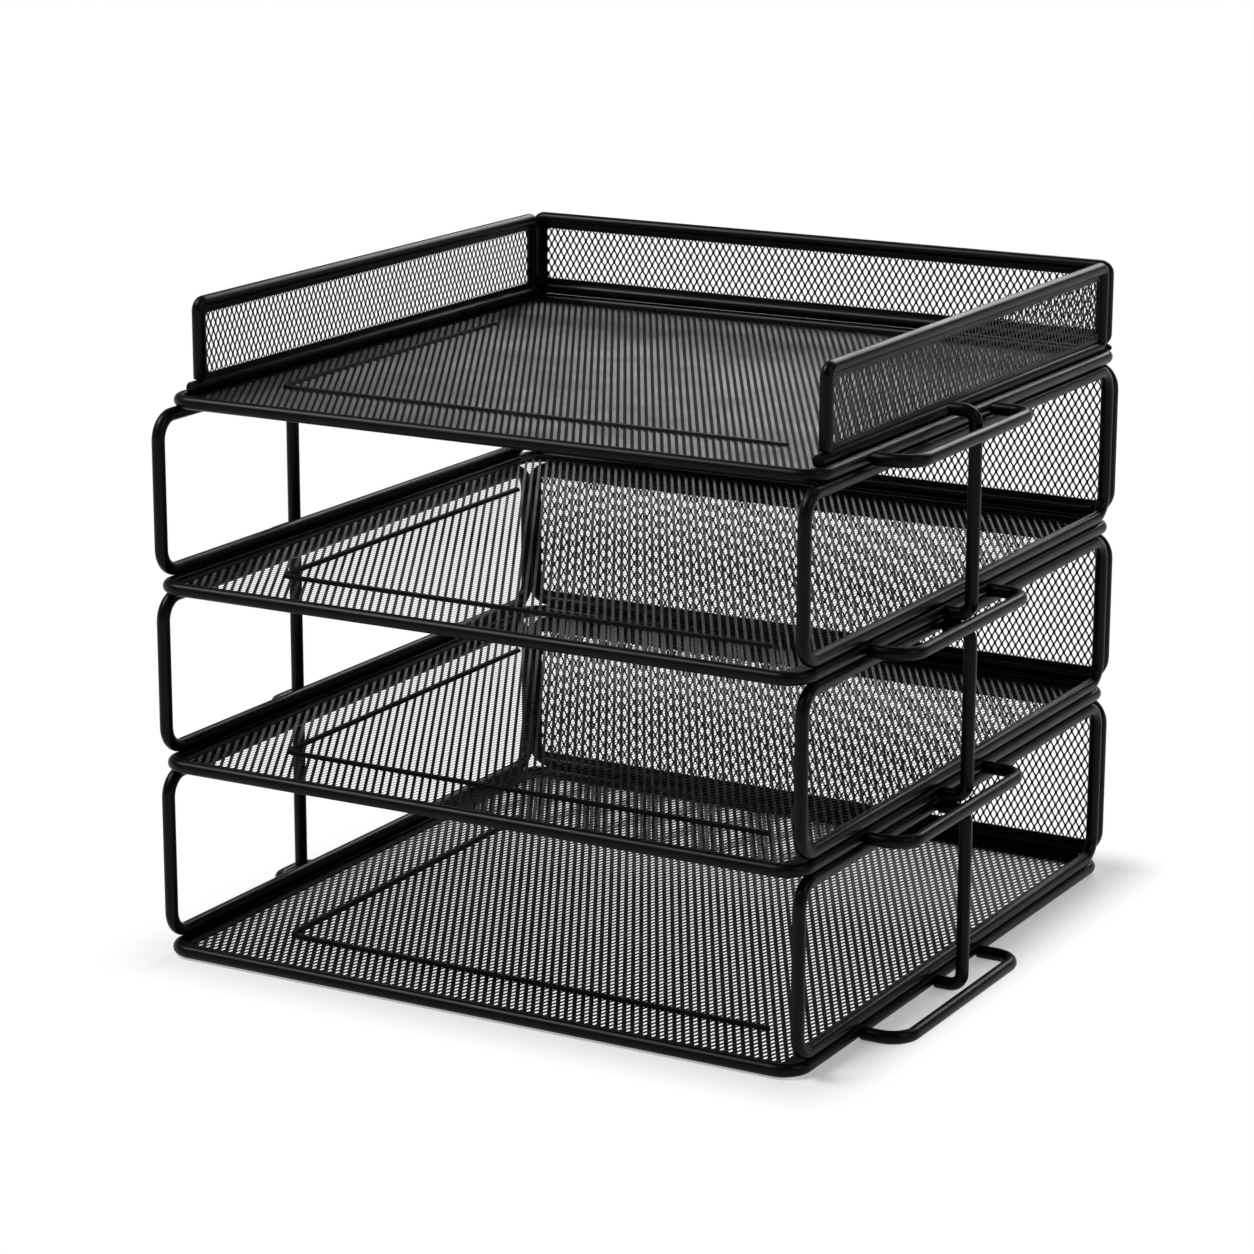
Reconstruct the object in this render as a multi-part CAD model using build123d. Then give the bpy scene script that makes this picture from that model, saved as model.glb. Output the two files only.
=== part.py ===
from build123d import *
import math
import os

# Stacking desk tray of bent round wire and diamond mesh, in millimetres.
# Origin on the desk at the centre of the bottom rim, +X right, +Y back, +Z up.

# Wire
wire_d = 5.6
weld_seat = 0.1
stack_gap = 0.3
end_chamfer = 0.5

# Floor rims, sizes along the wire's centreline
rim_width = 300.0
rim_depth = 306.0
rim_corner = 10.0

# Side and back frames of the lower trays, sizes along the wire's centreline
bottom_frame_height = 70.8
upper_frame_height = 65.7
frame_corner = 10.0
frame_front_inset = 1.8

# Right side: long stacking loops, with posts bent inward at both ends
loop_front = 54.0
loop_length = 114.0
post_share = 0.62
post_gap = 9.4
loop_gap = 1.0
tip_clearance = 0.4
tip_rise = 7.5

# Left side: short stacking loops round the feet of straight posts
left_loop_front = 101.0
left_loop_length = 24.0
left_post_share = 0.33
left_loop_gap = 3.2

# Top tray
top_front_set_back = 11.4
wall_lean = 0.7
wall_height = 35.0
wall_corner = 6.0
wall_post_set_back = 15.6
wall_rail_overhang = 6.5

# Mesh sheets
sheet = 0.8
floor_pitch = (24.0, 38.0)
floor_strand = 3.4
floor_border = 4.0
least_gap = 5.0
back_pitch = (9.0, 13.0)
back_strand = 1.6
wall_pitch = (6.5, 9.4)
wall_strand = 1.2
net_border = 2.0
bead_width = 3.0
bead_rise = 1.2
bead_side_inset = 44.0
bead_front_inset = 36.0
top_bead_side_inset = 34.7
top_bead_front_inset = 43.8
bead_back_inset = 76.0

# Derived places
r = wire_d / 2
pitch_of_wires = wire_d + weld_seat
inside = wire_d + 2 * weld_seat
half_width = rim_width / 2
front = -rim_depth / 2
back = rim_depth / 2
post_x = half_width + wire_d + post_gap
loop_x = post_x + wire_d + loop_gap
post_y = front + loop_front + post_share * loop_length
foot_x = half_width + r + weld_seat
post_bend = 0.45 * (post_x - foot_x)
left_post_x = half_width + pitch_of_wires
left_post_y = front + left_loop_front + left_post_share * left_loop_length
left_loop_x = left_post_x + wire_d + left_loop_gap
side_back = back - pitch_of_wires
top_front = front + top_front_set_back
mesh_rise = r - bead_rise - sheet / 2
wall_inset = wall_lean * pitch_of_wires

tray_names = ("bottom_tray", "middle_tray", "upper_tray")
frame_heights = (bottom_frame_height, upper_frame_height, upper_frame_height)
rim_levels = []
rail_levels = []
next_level = r
for height in frame_heights:
    rim_levels.append(next_level)
    rail_levels.append(next_level + pitch_of_wires + height)
    next_level = rail_levels[-1] + wire_d + stack_gap
top_level = next_level


def bent_wire(path):
    section = Plane(origin=path @ 0, z_dir=path % 0) * Circle(r)
    return sweep(section, path=path).solid()


def trim_ends(solid):
    ends = [edge for face in solid.faces().filter_by(GeomType.PLANE) for edge in face.edges()]
    return chamfer(ends, end_chamfer).solid()


def open_wire(points, bend):
    return trim_ends(bent_wire(FilletPolyline(*points, radius=bend)))


def straight_wire(x, y, low, high):
    return trim_ends(Pos(x, y, (low + high) / 2) * Cylinder(r, high - low))


def closed_wire(plane, width, height, corner):
    return bent_wire((plane * RectangleRounded(width, height, corner)).wire())


def side_plane(x, y, z):
    return Plane(origin=(x, y, z), x_dir=(0, 1, 0), z_dir=(1, 0, 0))


def back_plane(y, z):
    return Plane(origin=(0, y, z), x_dir=(1, 0, 0), z_dir=(0, -1, 0))


def diamond(cx, cy, a, b):
    return [(cx + a, cy), (cx, cy + b), (cx - a, cy), (cx, cy - b)]


def open_share(pitch, strand):
    return 1 - strand * math.hypot(*pitch) / (pitch[0] * pitch[1])


def net(width, height, corner, gaps):
    outline = RectangleRounded(width, height, corner).wire()
    holed = Face(outline, [Wire.make_polygon(gap) for gap in gaps])
    return extrude(holed, amount=sheet / 2, both=True).solid()


def wall_net(plane, width, height, corner, pitch, strand):
    px, py = pitch
    share = open_share(pitch, strand)
    columns = int((width - 2 * net_border) / px)
    rows = int((height - 2 * net_border - py) / (py / 2)) + 1
    gaps = []
    for row in range(rows):
        count = columns - row % 2
        y = (row - (rows - 1) / 2) * py / 2
        for column in range(count):
            x = (column - (count - 1) / 2) * px
            gaps.append(diamond(x, y, share * px / 2, share * py / 2))
    return plane.location * net(width, height, corner - r - weld_seat, gaps)


def keep_below(points, axis, sign, limit):
    kept = []
    for start, end in zip(points, points[1:] + points[:1]):
        before = limit - sign * start[axis]
        after = limit - sign * end[axis]
        if before >= 0:
            kept.append(start)
        if before * after < 0:
            t = before / (before - after)
            kept.append((start[0] + t * (end[0] - start[0]), start[1] + t * (end[1] - start[1])))
    return kept


def floor_gaps(half_w, half_d, bead_x, bead_front, bead_back):
    across = max(1, round(2 * bead_x / floor_pitch[0]))
    along = max(1, round((bead_back - bead_front) / floor_pitch[1]))
    step_x = bead_x / across
    step_y = (bead_back - bead_front) / (2 * along)
    share = open_share((2 * step_x, 2 * step_y), floor_strand)
    gaps = []
    for i in range(-int(half_w / step_x) - 1, int(half_w / step_x) + 2):
        for j in range(-int(2 * half_d / step_y), int(2 * half_d / step_y) + 1):
            if (i + j - across) % 2 == 0:
                continue
            gap = diamond(i * step_x, bead_front + j * step_y, share * step_x, share * step_y)
            for axis, limit in ((0, half_w), (1, half_d)):
                gap = keep_below(gap, axis, 1, limit)
                gap = keep_below(gap, axis, -1, limit)
            spans = [max(p[axis] for p in gap) - min(p[axis] for p in gap) if gap else 0 for axis in (0, 1)]
            if min(spans) > least_gap:
                gaps.append(gap)
    return gaps


def floor_net(width, depth, side_inset, front_inset):
    bead_x = width / 2 - side_inset
    bead_front = -depth / 2 + front_inset
    bead_back = depth / 2 - bead_back_inset
    half_w = (width - inside) / 2 - floor_border
    half_d = (depth - inside) / 2 - floor_border
    gaps = floor_gaps(half_w, half_d, bead_x, bead_front, bead_back)
    solid = net(width - inside, depth - inside, rim_corner - r - weld_seat, gaps)
    corners = [(-bead_x, bead_back), (-bead_x, bead_front), (bead_x, bead_front), (bead_x, bead_back)]
    line = FilletPolyline(*[(x, y, bead_rise / 2) for x, y in corners], radius=2 * bead_width)
    plane = Plane(origin=line @ 0, x_dir=(1, 0, 0), z_dir=line % 0)
    bead = sweep(plane * Rectangle(bead_width, bead_rise + sheet), path=line).solid()
    return (solid + bead).solid()


pieces = {}


def add_pair(name, right):
    pieces[name.format("right")] = right
    pieces[name.format("left")] = mirror(right, about=Plane.YZ)


def loop(x, y, length, level):
    points = [(foot_x, y, level), (x, y, level), (x, y + length, level), (foot_x, y + length, level)]
    return open_wire(points, 0.55 * (x - foot_x))


def add_loops(tray, level):
    pieces[tray + "_right_loop"] = loop(loop_x, front + loop_front, loop_length, level)
    left = loop(left_loop_x, front + left_loop_front, left_loop_length, level)
    pieces[tray + "_left_loop"] = mirror(left, about=Plane.YZ)


# Lower trays
lower_floor = floor_net(rim_width, rim_depth, bead_side_inset, bead_front_inset)
for index, tray in enumerate(tray_names):
    level = rim_levels[index]
    height = frame_heights[index]
    rail = rail_levels[index]
    middle = rail - height / 2
    pieces[tray + "_floor_rim"] = closed_wire(Plane((0, 0, level)), rim_width, rim_depth, rim_corner)
    pieces[tray + "_floor_mesh"] = Pos(0, 0, level + mesh_rise) * lower_floor
    side_front = front + frame_front_inset
    side_centre = (side_front + side_back) / 2
    plane = side_plane(half_width, side_centre, middle)
    add_pair(tray + "_{}_side_frame", closed_wire(plane, side_back - side_front, height, frame_corner))
    plane = back_plane(back, middle)
    pieces[tray + "_back_frame"] = closed_wire(plane, rim_width, height, frame_corner)
    pieces[tray + "_back_mesh"] = wall_net(
        plane, rim_width - inside, height - inside, frame_corner, back_pitch, back_strand)
    add_loops(tray, level)
    tip_x = foot_x
    tip_z = rail
    if tray == tray_names[-1]:
        tip_x = half_width + r + tip_clearance
        tip_z = top_level + tip_rise
    points = [
        (foot_x, post_y, level),
        (post_x, post_y, level),
        (post_x, post_y, tip_z),
        (tip_x, post_y, tip_z),
    ]
    pieces[tray + "_right_post"] = open_wire(points, post_bend)
    pieces[tray + "_left_post"] = straight_wire(-left_post_x, left_post_y, level - r, rail + r)

# Top tray
tray = "top_tray"
depth = back - top_front
centre_y = (back + top_front) / 2
pieces[tray + "_floor_rim"] = closed_wire(Plane((0, centre_y, top_level)), rim_width, depth, rim_corner)
add_loops(tray, top_level)
wall_x = half_width - wall_inset
wall_front = top_front + wall_post_set_back
wall_bottom = top_level + math.sqrt(pitch_of_wires ** 2 - wall_inset ** 2)
wall_top = wall_bottom + wall_height
top_floor = floor_net(rim_width, depth, top_bead_side_inset, top_bead_front_inset)
pieces[tray + "_floor_mesh"] = Pos(0, centre_y, wall_bottom - r - weld_seat - sheet / 2) * top_floor
points = [
    (wall_x, wall_front - wall_rail_overhang, wall_bottom),
    (wall_x, side_back, wall_bottom),
    (wall_x, side_back, wall_top),
    (wall_x, wall_front, wall_top),
    (wall_x, wall_front, wall_bottom + r + weld_seat),
]
add_pair(tray + "_{}_wall_frame", open_wire(points, wall_corner))
plane = side_plane(wall_x, (wall_front + side_back) / 2, (wall_bottom + wall_top) / 2)
side_mesh = wall_net(
    plane, side_back - wall_front - inside, wall_height - inside, wall_corner, wall_pitch, wall_strand)
add_pair(tray + "_{}_wall_mesh", side_mesh)
back_wall_bottom = top_level + pitch_of_wires
back_wall_height = wall_top - back_wall_bottom
plane = back_plane(back, (back_wall_bottom + wall_top) / 2)
pieces[tray + "_back_wall_frame"] = closed_wire(plane, 2 * wall_x, back_wall_height, wall_corner)
pieces[tray + "_back_wall_mesh"] = wall_net(
    plane, 2 * wall_x - inside, back_wall_height - inside, wall_corner, wall_pitch, wall_strand)

os.makedirs("parts", exist_ok=True)
for name, solid in pieces.items():
    export_step(solid, "parts/" + name + ".step")
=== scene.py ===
import math

import bpy
import numpy as np
from mathutils import Matrix, Vector


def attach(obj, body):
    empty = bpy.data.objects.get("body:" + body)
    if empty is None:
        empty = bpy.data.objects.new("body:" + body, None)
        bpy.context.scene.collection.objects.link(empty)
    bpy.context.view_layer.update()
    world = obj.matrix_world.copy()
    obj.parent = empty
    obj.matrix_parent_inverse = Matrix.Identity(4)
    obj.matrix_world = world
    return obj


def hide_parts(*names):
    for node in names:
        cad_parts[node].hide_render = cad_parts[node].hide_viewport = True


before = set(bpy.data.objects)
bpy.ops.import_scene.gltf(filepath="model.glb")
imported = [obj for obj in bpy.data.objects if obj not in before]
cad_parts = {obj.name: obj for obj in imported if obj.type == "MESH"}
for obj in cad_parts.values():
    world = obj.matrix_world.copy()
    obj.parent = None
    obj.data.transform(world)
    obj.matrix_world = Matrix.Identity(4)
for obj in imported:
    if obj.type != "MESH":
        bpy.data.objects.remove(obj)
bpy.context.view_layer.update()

# Stacking desk tray of bent round wire and expanded mesh, in millimetres as far as the paper floor
MM = 0.001
X, Y, Z = (1, 0, 0), (0, 1, 0), (0, 0, 1)
SIDES = {"right": 1, "left": -1}

# Wire, the seat between welded wires, and the broken edge at a cut end with the share of it where it turns
WIRE = 5.6
R = WIRE / 2
SEAT = 0.1
END_EDGE = 0.45
END_EASE = 0.3
WIRE_SIDES = 20
BEND_STEPS = 10

# Floor rims and frames, sizes along the wire's centreline
RIM_W = 300.0
RIM_D = 306.0
RIM_CORNER = 10.0
FRAME_CORNER = 10.0
FRAME_FRONT_INSET = 1.8
# The frames are drawn 0.26 mm taller than their solids, so that stacked wires meet as they do at rest
FRAME_HEIGHTS = {"bottom_tray": 71.06, "middle_tray": 65.96, "upper_tray": 65.96}
STACK_GAP = 0.04

# Bends of loops and posts, as shares of how far they stand out
LOOP_BEND = 0.55
POST_BEND = 0.45

# Right side: long loops, with posts bent inward at both ends
LOOP_FRONT = 54.0
LOOP_LENGTH = 114.0
POST_SHARE = 0.62
POST_GAP = 9.4
LOOP_GAP = 1.0
TIP_RISE = 7.5
TIP_CLEARANCE = 0.4

# Left side: short loops round the feet of straight posts
LEFT_LOOP_FRONT = 101.0
LEFT_LOOP_LENGTH = 24.0
LEFT_POST_SHARE = 0.33
LEFT_LOOP_GAP = 3.2

# Top tray
TOP_SET_BACK = 11.4
WALL_LEAN = 0.7
WALL_HEIGHT = 35.0
WALL_CORNER = 3.4
WALL_POST_SET_BACK = 15.6
WALL_RAIL_OVERHANG = 6.5

# Drops of weld metal under the back wall's lower corners: half sizes, and how far in and forward they sit
WELD_HALF = (4.2, 2.2, 2.0)
WELD_IN = 0.8
WELD_FORWARD = 0.4
WELD_BELTS = 7
WELD_SECTORS = 14

# Expanded sheets: gap across and along, knot, thickness, and the drop from a knot's heart to its tip.
# A floor's knot is given by its strand, a wall's by the bond's width, straight side and length.
# The three lower floors are drawn 14 to 17 percent coarser than the photograph's columns,
# so that their rows show.
# The top floor's knots tip toward the front, so that it looks more closed from there.
FLOOR_WEAVES = {
    "bottom_tray": (3.90, 7.00, (1.78,), 0.30, 0.24),
    "middle_tray": (3.80, 6.80, (1.29,), 0.22, 0.35),
    "upper_tray": (3.80, 6.80, (1.24,), 0.20, 0.34),
    "top_tray": (3.34, 5.95, (1.40,), 0.24, -0.33),
}
WALL_WEAVE = (3.43, 5.95, (1.28, 1.10, 1.62), 0.22, 0.08)

# Folded hems: widths at the sides, the first end and the last end of a sheet.
# They reach into the wire, and the net runs on into them.
FLOOR_HEMS = (5.0, 1.8, 5.0)
WALL_HEMS = (1.8, 1.8, 1.8)
HEM_THICK = 0.9
HEM_REACH = 1.0
HEM_CORNER = 2.0
NET_IN_HEM = 1.0

# Height of a lower floor over the middle of its rim
FLOOR_RISE = 1.2

# Bead pressed into a floor: heights over the sheet, flat share of its width, insets left, right and front
BEAD_WIDTH = 3.0
BEAD_RISE = 1.2
BEAD_FOOT = -0.3
BEAD_TOP = 0.62
BEAD_INSETS = (37.0, 30.0, 36.0)
TOP_BEAD_INSETS = (25.5, 34.7, 43.8)
BEAD_BACK_INSET = 76.0

# Derived places
front = -RIM_D / 2
back = RIM_D / 2
half = RIM_W / 2
wire_step = WIRE + SEAT
inside = WIRE + 2 * SEAT
foot = half + R + SEAT
side_back = back - wire_step
post_x = half + WIRE + POST_GAP
loop_x = post_x + WIRE + LOOP_GAP
post_y = front + LOOP_FRONT + POST_SHARE * LOOP_LENGTH
left_post_x = half + wire_step
left_loop_x = left_post_x + WIRE + LEFT_LOOP_GAP
left_post_y = front + LEFT_LOOP_FRONT + LEFT_POST_SHARE * LEFT_LOOP_LENGTH

rim_level = {}
rail_level = {}
next_level = R
for tray, height in FRAME_HEIGHTS.items():
    rim_level[tray] = next_level
    rail_level[tray] = next_level + wire_step + height
    next_level = rail_level[tray] + WIRE + STACK_GAP
top_level = next_level

top_front = front + TOP_SET_BACK
top_depth = back - top_front
top_middle = (back + top_front) / 2
wall_inset = WALL_LEAN * wire_step
wall_x = half - wall_inset
wall_front = top_front + WALL_POST_SET_BACK
wall_bottom = top_level + math.sqrt(wire_step ** 2 - wall_inset ** 2)
wall_top = wall_bottom + WALL_HEIGHT
back_wall_bottom = top_level + wire_step
back_wall_height = wall_top - back_wall_bottom
back_wall_middle = (back_wall_bottom + wall_top) / 2


# Materials


def linear(code):
    """The linear colour of an sRGB hex value."""
    parts = [int(code[i:i + 2], 16) / 255 for i in (1, 3, 5)]
    return tuple(c / 12.92 if c <= 0.04045 else ((c + 0.055) / 1.055) ** 2.4 for c in parts) + (1.0,)


def add_node(tree, kind, links=(), **settings):
    """A node with its settings and input values, and links given as (input, node, output)."""
    node = tree.nodes.new(kind)
    for name, value in settings.items():
        if name == "inputs":
            for key, number in value.items():
                node.inputs[key].default_value = number
        else:
            setattr(node, name, value)
    for key, other, output in links:
        tree.links.new(other.outputs[output], node.inputs[key])
    return node


def new_material(name):
    material = bpy.data.materials.new(name)
    material.use_nodes = True
    material.node_tree.nodes.clear()
    return material, material.node_tree


# Size of the clouds in a coat's colour and sheen, and depth of its orange peel
COAT_CLOUD = 26.0
PEEL_DEPTH = 0.02


def powder_coat(name, dark, light, gloss, smooth, rough, peel):
    """Thermoset powder baked on steel: near black, a satin sheen that breaks up over a faint orange peel.

    Peel is the width of its waves. Finer waves would not show, so they are drawn as coarse as this.
    """
    material, tree = new_material(name)
    place = add_node(tree, "ShaderNodeTexCoord")
    waves = add_node(tree, "ShaderNodeTexNoise", [("Vector", place, "Object")],
                     inputs={"Scale": 1 / (peel * MM), "Detail": 2.0, "Roughness": 0.55})
    cloud = add_node(tree, "ShaderNodeTexNoise", [("Vector", place, "Object")],
                     inputs={"Scale": 1 / (COAT_CLOUD * MM), "Detail": 3.0, "Roughness": 0.6})
    colour = add_node(tree, "ShaderNodeMix", [("Factor", cloud, "Fac")], data_type="RGBA",
                      inputs={"A": linear(dark), "B": linear(light)})
    sheen = add_node(tree, "ShaderNodeMapRange", [("Value", cloud, "Fac")],
                     inputs={"From Min": 0.3, "From Max": 0.7, "To Min": smooth, "To Max": rough})
    bump = add_node(tree, "ShaderNodeBump", [("Height", waves, "Fac")],
                    inputs={"Strength": 0.35, "Distance": PEEL_DEPTH * MM})
    surface = add_node(
        tree, "ShaderNodeBsdfPrincipled",
        [("Base Color", colour, "Result"), ("Roughness", sheen, "Result"), ("Normal", bump, "Normal")],
        inputs={"Base Color": linear(dark), "IOR": 1.5, "Specular IOR Level": gloss, "Metallic": 0.0})
    add_node(tree, "ShaderNodeOutputMaterial", [("Surface", surface, "BSDF")])
    return material


wire_coat = powder_coat("powder_coated_steel_wire", "#040404", "#090909",
                        gloss=0.10, smooth=0.31, rough=0.39, peel=0.9)
mesh_coat = powder_coat("powder_coated_expanded_steel", "#030303", "#070707",
                        gloss=0.16, smooth=0.40, rough=0.50, peel=0.6)


# Wire pieces


def place_piece(name, node, body, points, faces, material, smooth):
    """A mesh piece that rides on its tray and shows in place of the node's solid."""
    mesh = bpy.data.meshes.new(name)
    mesh.from_pydata(points, [], faces)
    mesh.validate()
    mesh.materials.append(material)
    if smooth:
        mesh.polygons.foreach_set("use_smooth", [len(p.vertices) == 4 for p in mesh.polygons])
    piece = bpy.data.objects.new(name, mesh)
    bpy.context.scene.collection.objects.link(piece)
    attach(piece, body)
    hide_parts(node)


def wire_line(points, bend, closed):
    """Points and tangents along a bent wire: straight runs, and a rounded bend at each corner."""
    corners = [Vector(p) for p in points]
    count = len(corners)
    places, ways = [], []
    for i, corner in enumerate(corners):
        before = corners[i - 1]
        after = corners[(i + 1) % count]
        if not closed and i in (0, count - 1):
            places.append(corner)
            ways.append((after - corner if i == 0 else corner - before).normalized())
            continue
        into = (corner - before).normalized()
        out = (after - corner).normalized()
        centre = corner + (out - into) * bend
        for step in range(BEND_STEPS + 1):
            turn = step / BEND_STEPS * math.pi / 2
            places.append(centre - out * bend * math.cos(turn) + into * bend * math.sin(turn))
            ways.append((into * math.cos(turn) + out * math.sin(turn)).normalized())
    return places, ways


def wire_rings(places, ways, closed):
    """Place, tangent and radius of each ring of a wire, with softly broken edges at cut ends."""
    rings = [(place, way, R) for place, way in zip(places, ways)]
    if closed:
        return rings
    start, first = places[0], ways[0]
    end, last = places[-1], ways[-1]
    ease = END_EDGE * END_EASE
    rings[0] = (start + first * END_EDGE, first, R)
    rings[-1] = (end - last * END_EDGE, last, R)
    start_cut = [(start, first, R - END_EDGE), (start + first * ease, first, R - ease)]
    end_cut = [(end - last * ease, last, R - ease), (end, last, R - END_EDGE)]
    return start_cut + rings + end_cut


def weld_spot(centre, start):
    """A drop of weld metal: points and faces of a rounded lump, numbered from start."""
    points, faces = [], []
    for i in range(WELD_BELTS):
        tilt = math.pi * (i + 0.5) / WELD_BELTS
        for k in range(WELD_SECTORS):
            turn = 2 * math.pi * k / WELD_SECTORS
            way = (math.sin(tilt) * math.cos(turn), math.sin(tilt) * math.sin(turn), math.cos(tilt))
            points.append(Vector([c + s * w for c, s, w in zip(centre, WELD_HALF, way)]) * MM)
    for i in range(WELD_BELTS - 1):
        a = start + i * WELD_SECTORS
        b = a + WELD_SECTORS
        for k in range(WELD_SECTORS):
            m = (k + 1) % WELD_SECTORS
            faces.append((a + k, b + k, b + m, a + m))
    stop = start + len(points)
    faces.append(tuple(range(start, start + WELD_SECTORS)))
    faces.append(tuple(reversed(range(stop - WELD_SECTORS, stop))))
    return points, faces


def add_wire(node, body, points, bend, normal, closed=False, welds=()):
    """A round wire bent in one plane, and the welds on it."""
    places, ways = wire_line(points, bend, closed)
    rings = wire_rings(places, ways, closed)
    side = Vector(normal)
    skin, faces = [], []
    for place, way, radius in rings:
        across = side.cross(way)
        for k in range(WIRE_SIDES):
            turn = 2 * math.pi * k / WIRE_SIDES
            skin.append((place + side * radius * math.cos(turn) + across * radius * math.sin(turn)) * MM)
    for i in range(len(rings) if closed else len(rings) - 1):
        a = i * WIRE_SIDES
        b = (i + 1) % len(rings) * WIRE_SIDES
        for k in range(WIRE_SIDES):
            m = (k + 1) % WIRE_SIDES
            faces.append((a + k, a + m, b + m, b + k))
    if not closed:
        faces.append(tuple(reversed(range(WIRE_SIDES))))
        faces.append(tuple(range(len(skin) - WIRE_SIDES, len(skin))))
    for centre in welds:
        lump, lump_faces = weld_spot(centre, len(skin))
        skin += lump
        faces += lump_faces
    place_piece(node + "_wire", node, body, skin, faces, wire_coat, True)


def rectangle(axes, centre, width, height):
    """Corner points of a rectangle on two axes about a centre, in order round it."""
    u, v = Vector(axes[0]), Vector(axes[1])
    centre = Vector(centre)
    signs = ((-1, -1), (1, -1), (1, 1), (-1, 1))
    return [centre + u * a * width / 2 + v * b * height / 2 for a, b in signs]


def add_loop(node, tray, level, x, y, length):
    """A flat U of wire with its two feet on the rim's side."""
    toe = math.copysign(foot, x)
    points = [(toe, y, level), (x, y, level), (x, y + length, level), (toe, y + length, level)]
    add_wire(node, tray, points, LOOP_BEND * abs(x - toe), Z)


def add_loops(tray, level):
    add_loop(tray + "_right_loop", tray, level, loop_x, front + LOOP_FRONT, LOOP_LENGTH)
    add_loop(tray + "_left_loop", tray, level, -left_loop_x, front + LEFT_LOOP_FRONT, LEFT_LOOP_LENGTH)


def add_lower_tray(tray):
    """Rim, side and back frames, loops and posts of a letter tray."""
    level = rim_level[tray]
    rail = rail_level[tray]
    height = FRAME_HEIGHTS[tray]
    middle = rail - height / 2
    add_wire(tray + "_floor_rim", tray, rectangle((X, Y), (0, 0, level), RIM_W, RIM_D), RIM_CORNER, Z, True)
    side_front = front + FRAME_FRONT_INSET
    for side, s in SIDES.items():
        centre = (s * half, (side_front + side_back) / 2, middle)
        points = rectangle((Y, Z), centre, side_back - side_front, height)
        add_wire(f"{tray}_{side}_side_frame", tray, points, FRAME_CORNER, X, True)
    points = rectangle((X, Z), (0, back, middle), RIM_W, height)
    add_wire(tray + "_back_frame", tray, points, FRAME_CORNER, Y, True)
    add_loops(tray, level)
    tip_x, tip_z = foot, rail
    if tray == "upper_tray":
        tip_x = half + R + TIP_CLEARANCE
        tip_z = top_level + TIP_RISE
    points = [(foot, post_y, level), (post_x, post_y, level), (post_x, post_y, tip_z), (tip_x, post_y, tip_z)]
    add_wire(tray + "_right_post", tray, points, POST_BEND * (post_x - foot), Y)
    points = [(-left_post_x, left_post_y, level - R), (-left_post_x, left_post_y, rail + R)]
    add_wire(tray + "_left_post", tray, points, 0, Y)


def add_top_tray(tray):
    """Rim, loops and wall frames of the shallow top tray."""
    points = rectangle((X, Y), (0, top_middle, top_level), RIM_W, top_depth)
    add_wire(tray + "_floor_rim", tray, points, RIM_CORNER, Z, True)
    add_loops(tray, top_level)
    for side, s in SIDES.items():
        x = s * wall_x
        points = [
            (x, wall_front - WALL_RAIL_OVERHANG, wall_bottom),
            (x, side_back, wall_bottom),
            (x, side_back, wall_top),
            (x, wall_front, wall_top),
            (x, wall_front, wall_bottom + R + SEAT),
        ]
        add_wire(f"{tray}_{side}_wall_frame", tray, points, WALL_CORNER, X)
    points = rectangle((X, Z), (0, back, back_wall_middle), 2 * wall_x, back_wall_height)
    welds = [(s * (wall_x - WELD_IN), back - WELD_FORWARD, back_wall_bottom - R) for s in SIDES.values()]
    add_wire(tray + "_back_wall_frame", tray, points, WALL_CORNER, Y, True, welds)


# Mesh sheets


def knot_corners(sizes, a, b):
    """Corners of a knot: four where two strands of one width cross, six for a bond with straight sides."""
    if len(sizes) == 1:
        reach = sizes[0] / 2 * math.hypot(a, b)
        return [(-reach / b, 0), (0, -reach / a), (reach / b, 0), (0, reach / a)]
    u, v, tip = [size / 2 for size in sizes]
    return [(-u, -v), (0, -tip), (u, -v), (u, v), (0, tip), (-u, v)]


# By the number of a knot's corners: its faces, and the corners of its rising (1) and falling (-1) strands.
# A strand goes from a corner of its own knot to two of the next knot, and back to another of its own.
KNOT_FACES = {4: [(0, 1, 2, 3)], 6: [(0, 1, 2, 3), (3, 4, 5, 0)]}
STRANDS = {4: {1: (2, 1, 0, 3), -1: (1, 0, 3, 2)}, 6: {1: (3, 1, 0, 4), -1: (1, 5, 4, 2)}}


def expanded_mesh(width, height, weave):
    """Expanded sheet: tilted knots on every second point of a grid, and a tilted strand to each neighbour."""
    across, along, knot_size, thick, drop = weave
    columns = max(2, round(width / (across / 2)))
    rows = max(2, round(height / (along / 2)))
    a, b = width / columns, height / rows
    corners = knot_corners(knot_size, a, b)
    tip = max(y for _, y in corners)
    number = -np.ones((columns + 1, rows + 1), int)
    i, j = np.meshgrid(np.arange(columns + 1), np.arange(rows + 1), indexing="ij")
    even = (i + j) % 2 == 0
    number[even] = np.arange(even.sum()) * len(corners)
    u = i[even] * a - width / 2
    v = j[even] * b - height / 2
    hearts = np.column_stack([u, v, np.zeros_like(u)])
    offsets = [np.array([x, y, -drop * y / tip]) for x, y in corners]
    points = np.stack([hearts + offset for offset in offsets], 1).reshape(-1, 3)
    knot = number[even]
    quads = [np.stack([knot + corner for corner in face], 1) for face in KNOT_FACES[len(corners)]]
    for rise, (start, far, near, end) in STRANDS[len(corners)].items():
        ii, jj = i[even] + 1, j[even] + rise
        fits = (ii <= columns) & (jj >= 0) & (jj <= rows)
        own, other = knot[fits], number[ii[fits], jj[fits]]
        quads.append(np.stack([own + start, other + far, other + near, own + end], 1))
    return thicken(points, np.concatenate(quads), thick)


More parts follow.
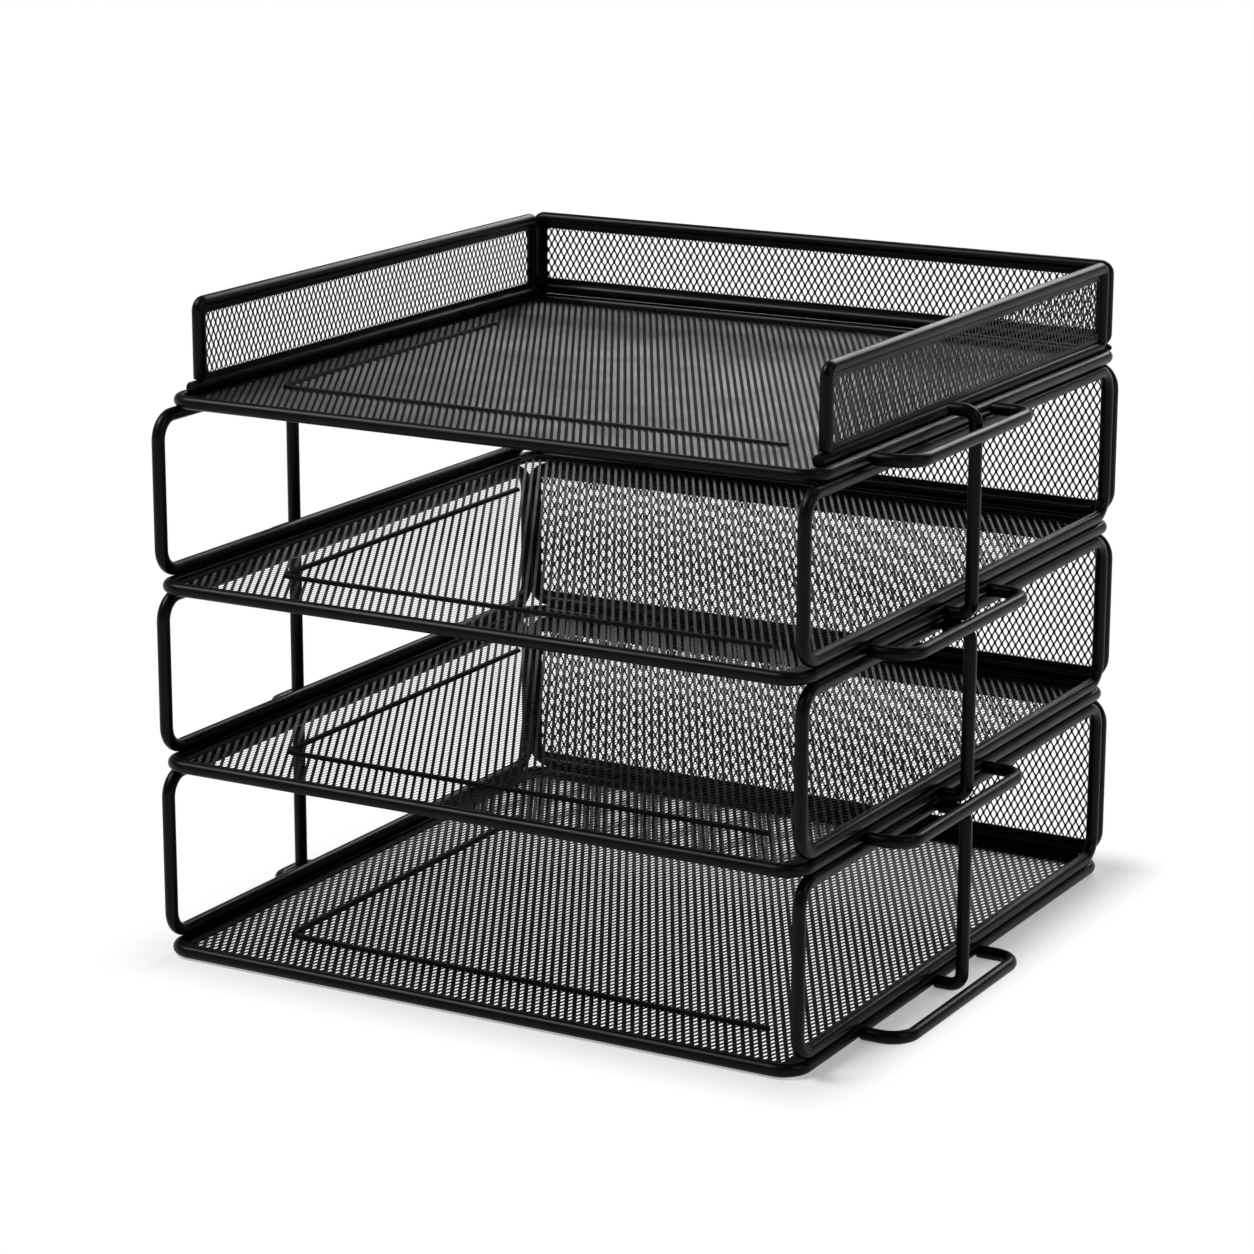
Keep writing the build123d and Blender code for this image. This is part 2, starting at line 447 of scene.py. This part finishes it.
def thicken(points, quads, thick):
    """A closed sheet from an open one: a copy below it, and walls along its open sides."""
    count = len(points)
    below = points - np.array([0, 0, thick])
    sides = np.concatenate([quads[:, [k, (k + 1) % 4]] for k in range(4)])
    key = np.sort(sides, 1) @ np.array([count, 1])
    _, where, times = np.unique(key, return_index=True, return_counts=True)
    start, end = sides[where[times == 1]].T
    walls = np.stack([end, start, start + count, end + count], 1)
    return np.concatenate([points, below]), np.concatenate([quads, quads[:, ::-1] + count, walls])


def pressed_bead(line):
    """A raised strip along a flat line, its top narrower than its foot."""
    count = len(line)
    line = np.array(line, float)
    way = np.gradient(line, axis=0)
    way /= np.linalg.norm(way, axis=1)[:, None]
    across = np.stack([-way[:, 1], way[:, 0]], 1) * BEAD_WIDTH / 2
    profile = [(-1.0, BEAD_FOOT), (-BEAD_TOP, BEAD_RISE), (BEAD_TOP, BEAD_RISE), (1.0, BEAD_FOOT)]
    strips = [np.column_stack([line + across * share, np.full(count, z)]) for share, z in profile]
    quads = []
    for a in range(0, 4 * (count - 1), 4):
        for k in range(4):
            m = (k + 1) % 4
            quads.append((a + k, a + 4 + k, a + 4 + m, a + m))
    quads.append((0, 1, 2, 3))
    quads.append((4 * count - 1, 4 * count - 2, 4 * count - 3, 4 * count - 4))
    return np.stack(strips, 1).reshape(-1, 3), np.array(quads)


def round_corners(corners, bend, closed):
    """Points of a flat line with rounded corners."""
    places, _ = wire_line([(x, y, 0) for x, y in corners], bend, closed)
    return [(p.x, p.y) for p in places]


def folded_hem(outer, inner):
    """The folded edge of a sheet: a flat band between two outlines of as many points each."""
    count = len(outer)
    low, high = -HEM_THICK / 2, HEM_THICK / 2
    rings = [(outer, low), (outer, high), (inner, high), (inner, low)]
    points = np.concatenate([np.column_stack([np.array(line), np.full(count, z)]) for line, z in rings])
    quads = []
    for k in range(4):
        a, b = k * count, (k + 1) % 4 * count
        for i in range(count):
            j = (i + 1) % count
            quads.append((a + i, a + j, b + j, b + i))
    return points, np.array(quads)


def join(parts):
    """Points and faces of several shapes as those of one."""
    points, quads, start = [], [], 0
    for p, q in parts:
        points.append(p)
        quads.append(q + start)
        start += len(p)
    return np.concatenate(points), np.concatenate(quads)


def box_corners(u0, v0, u1, v1):
    return [(u0, v0), (u1, v0), (u1, v1), (u0, v1)]


def add_sheet(node, body, origin, axes, size, corner, weave, hems, bead=None):
    """One mesh panel: expanded sheet, folded hem round its edge, and the pressed bead of a floor."""
    u, v = size[0] / 2, size[1] / 2
    side, first, last = hems
    net_w = 2 * (u - side + NET_IN_HEM)
    net_h = 2 * (v + NET_IN_HEM) - first - last
    net, net_quads = expanded_mesh(net_w, net_h, weave)
    parts = [(net + np.array([0, (first - last) / 2, 0]), net_quads)]
    wide, tall = u + HEM_REACH, v + HEM_REACH
    outer = round_corners(box_corners(-wide, -tall, wide, tall), corner, True)
    inner = round_corners(box_corners(-u + side, -v + first, u - side, v - last), HEM_CORNER, True)
    parts.append(folded_hem(outer, inner))
    if bead:
        parts.append(pressed_bead(round_corners(bead, 2 * BEAD_WIDTH, False)))
    points, quads = join(parts)
    turn = np.array([axes[0], axes[1], np.cross(axes[0], axes[1])], float)
    placed = (points @ turn + np.array(origin)) * MM
    place_piece(node + "_sheet", node, body, placed.tolist(), quads.tolist(), mesh_coat, False)


def floor_bead(depth, insets):
    """Corners of the bead in a floor: a leg along the left and a line along the front."""
    left, right, near = insets
    y0 = near - depth / 2
    y1 = depth / 2 - BEAD_BACK_INSET
    return [(left - half, y1), (left - half, y0), (half - right, y0)]


def add_lower_sheets(tray):
    """Floor and back mesh of a letter tray."""
    height = FRAME_HEIGHTS[tray]
    add_sheet(tray + "_floor_mesh", tray, (0, 0, rim_level[tray] + FLOOR_RISE), (X, Y),
              (RIM_W - inside, RIM_D - inside), RIM_CORNER - R, FLOOR_WEAVES[tray], FLOOR_HEMS,
              floor_bead(RIM_D, BEAD_INSETS))
    add_sheet(tray + "_back_mesh", tray, (0, back, rail_level[tray] - height / 2), (X, Z),
              (RIM_W - inside, height - inside), FRAME_CORNER - R, WALL_WEAVE, WALL_HEMS)


def add_top_sheets(tray):
    """Floor and wall meshes of the top tray."""
    level = wall_bottom - R - SEAT - HEM_THICK / 2
    add_sheet(tray + "_floor_mesh", tray, (0, top_middle, level), (X, Y),
              (RIM_W - inside, top_depth - inside), RIM_CORNER - R, FLOOR_WEAVES[tray], FLOOR_HEMS,
              floor_bead(top_depth, TOP_BEAD_INSETS))
    size = (side_back - wall_front - inside, WALL_HEIGHT - inside)
    for side, s in SIDES.items():
        place = (s * wall_x, (wall_front + side_back) / 2, (wall_bottom + wall_top) / 2)
        add_sheet(f"{tray}_{side}_wall_mesh", tray, place, (Y, Z), size, WALL_CORNER - R,
                  WALL_WEAVE, WALL_HEMS)
    size = (2 * wall_x - inside, back_wall_height - inside)
    add_sheet(tray + "_back_wall_mesh", tray, (0, back, back_wall_middle), (X, Z), size, WALL_CORNER - R,
              WALL_WEAVE, WALL_HEMS)


for tray in FRAME_HEIGHTS:
    add_lower_tray(tray)
add_top_tray("top_tray")
for tray in FRAME_HEIGHTS:
    add_lower_sheets(tray)
add_top_sheets("top_tray")


# Floor, world and lamps, in metres

PAPER_REACH = 12.0
PAPER_RISE = 2.0
PAPER_SINK = 0.0002

# Share of plain white in the paper beside the rim, kept low there as a painted shadow, and under the tray,
# where it is painted light that lifts the shade. It rises to all white over the painted shadow's width, and
# to the share underneath over the edge's width.
WHITE_BESIDE = 0.30
WHITE_UNDERNEATH = 0.88
PAINTED_SHADOW_WIDTH = 0.032
EDGE_WIDTH = 0.012


def paper_glow(tree):
    """Share of plain white in the paper, for rays from the camera, gloss and glass and for no other light."""
    rays = add_node(tree, "ShaderNodeLightPath")
    seen = add_node(tree, "ShaderNodeMath", [(0, rays, "Is Camera Ray"), (1, rays, "Is Glossy Ray")],
                    operation="MAXIMUM")
    clear = add_node(tree, "ShaderNodeMath", [(0, seen, "Value"), (1, rays, "Is Transmission Ray")],
                     operation="MAXIMUM")
    place = add_node(tree, "ShaderNodeTexCoord")
    either_side = add_node(tree, "ShaderNodeVectorMath", [(0, place, "Object")], operation="ABSOLUTE")
    outside = add_node(tree, "ShaderNodeVectorMath", [(0, either_side, "Vector")], operation="SUBTRACT",
                       inputs={1: ((half + R) * MM, (back + R) * MM, 0)})
    past = add_node(tree, "ShaderNodeVectorMath", [(0, outside, "Vector")], operation="MAXIMUM",
                    inputs={1: (0, 0, 0)})
    reach = add_node(tree, "ShaderNodeVectorMath", [(0, past, "Vector")], operation="LENGTH")
    # Painted shadow: the glow falls to the share beside the rim, so the paper there is darker under any lamp
    painted_shadow_ring = add_node(tree, "ShaderNodeMapRange", [("Value", reach, "Value")],
                      interpolation_type="SMOOTHSTEP",
                      inputs={"From Min": 0.0, "From Max": PAINTED_SHADOW_WIDTH,
                              "To Min": WHITE_BESIDE, "To Max": 1.0})
    ways = add_node(tree, "ShaderNodeSeparateXYZ", [("Vector", outside, "Vector")])
    away = add_node(tree, "ShaderNodeMath", [(0, ways, "X"), (1, ways, "Y")], operation="MAXIMUM")
    # Painted light: under the tray the glow rises again and lifts the shade there
    painted_light_under = add_node(tree, "ShaderNodeMapRange", [("Value", away, "Value")],
                     inputs={"From Min": -EDGE_WIDTH, "From Max": 0.0,
                             "To Min": WHITE_UNDERNEATH, "To Max": WHITE_BESIDE})
    painted_glow_share = add_node(tree, "ShaderNodeMath", [(0, painted_shadow_ring, "Result"), (1, painted_light_under, "Result")], operation="MAXIMUM")
    return add_node(tree, "ShaderNodeMath", [(0, clear, "Value"), (1, painted_glow_share, "Value")], operation="MULTIPLY")


def paper_floor():
    """Seamless matt white paper, with a painted shadow round the tray, painted light under it, and its far
    edges turned up all round.
    """
    material, tree = new_material("seamless_paper")
    share = paper_glow(tree)
    paper = add_node(tree, "ShaderNodeBsdfDiffuse", inputs={"Color": linear("#f6f6f6")})
    glow = add_node(tree, "ShaderNodeEmission", inputs={"Color": linear("#ffffff"), "Strength": 1.0})
    mixed = add_node(tree, "ShaderNodeMixShader",
                     [(0, share, "Value"), (1, paper, "BSDF"), (2, glow, "Emission")])
    add_node(tree, "ShaderNodeOutputMaterial", [("Surface", mixed, "Shader")])
    mesh = bpy.data.meshes.new("paper_floor")
    corners = box_corners(-PAPER_REACH, -PAPER_REACH, PAPER_REACH, PAPER_REACH)
    points = [(x, y, z) for z in (0, PAPER_RISE) for x, y in corners]
    upturned = [(k, k + 4, (k + 1) % 4 + 4, (k + 1) % 4) for k in range(4)]
    mesh.from_pydata(points, [], [(0, 1, 2, 3)] + upturned)
    mesh.materials.append(material)
    floor = bpy.data.objects.new("paper_floor", mesh)
    floor.location.z = -PAPER_SINK
    bpy.context.scene.collection.objects.link(floor)


def dim_world(light):
    """A dim, even room round the lamps, so that the black coat stays black between its highlights."""
    world = bpy.data.worlds.new("studio")
    bpy.context.scene.world = world
    world.use_nodes = True
    tree = world.node_tree
    tree.nodes.clear()
    even = add_node(tree, "ShaderNodeBackground", inputs={"Color": linear("#ffffff"), "Strength": light})
    add_node(tree, "ShaderNodeOutputWorld", [("Surface", even, "Background")])


def softbox(name, place, aim, size, power):
    lamp = bpy.data.lights.new(name, "AREA")
    lamp.shape = "RECTANGLE"
    lamp.size, lamp.size_y = size
    lamp.energy = power
    holder = bpy.data.objects.new(name, lamp)
    holder.location = place
    holder.rotation_mode = "QUATERNION"
    holder.rotation_quaternion = (Vector(aim) - Vector(place)).to_track_quat("-Z", "Y")
    bpy.context.scene.collection.objects.link(holder)


# The key lamp stands high at the front left, a wide one behind, and a weak one on the right
paper_floor()
dim_world(0.14)
softbox("key_softbox", (-1.0, -0.6, 1.7), (0, 0, 0.1), (0.9, 0.7), 32.0)
softbox("back_softbox", (-0.1, 1.9, 1.3), (0, 0, 0.2), (1.3, 0.7), 25.0)
softbox("right_softbox", (1.6, -0.2, 1.3), (0, 0, 0.1), (0.7, 0.7), 5.0)


# Camera, fitted to the wires in the photograph, in pixels, metres and radians

IMAGE = 1254
FOCAL_PX = 3838.03
SENSOR = 36.0
FAR = 50.0
CAMERA = (0.781901, -1.264985 + front * MM, 0.551391)
YAW, PITCH, ROLL = -0.510116, 0.254629, -0.002418

camera = bpy.data.objects.new("camera", bpy.data.cameras.new("camera"))
camera.data.sensor_width = SENSOR
camera.data.lens = FOCAL_PX / IMAGE * SENSOR
camera.data.clip_end = FAR
forward = Vector((math.sin(YAW) * math.cos(PITCH), math.cos(YAW) * math.cos(PITCH), -math.sin(PITCH)))
right = Vector((math.cos(YAW), -math.sin(YAW), 0))
down = forward.cross(right)
tilted_right = right * math.cos(ROLL) + down * math.sin(ROLL)
tilted_down = down * math.cos(ROLL) - right * math.sin(ROLL)
turn = Matrix((tilted_right, -tilted_down, -forward)).transposed()
camera.matrix_world = Matrix.Translation(CAMERA) @ turn.to_4x4()
bpy.context.scene.collection.objects.link(camera)
bpy.context.scene.camera = camera
bpy.context.scene.view_settings.view_transform = "Standard"
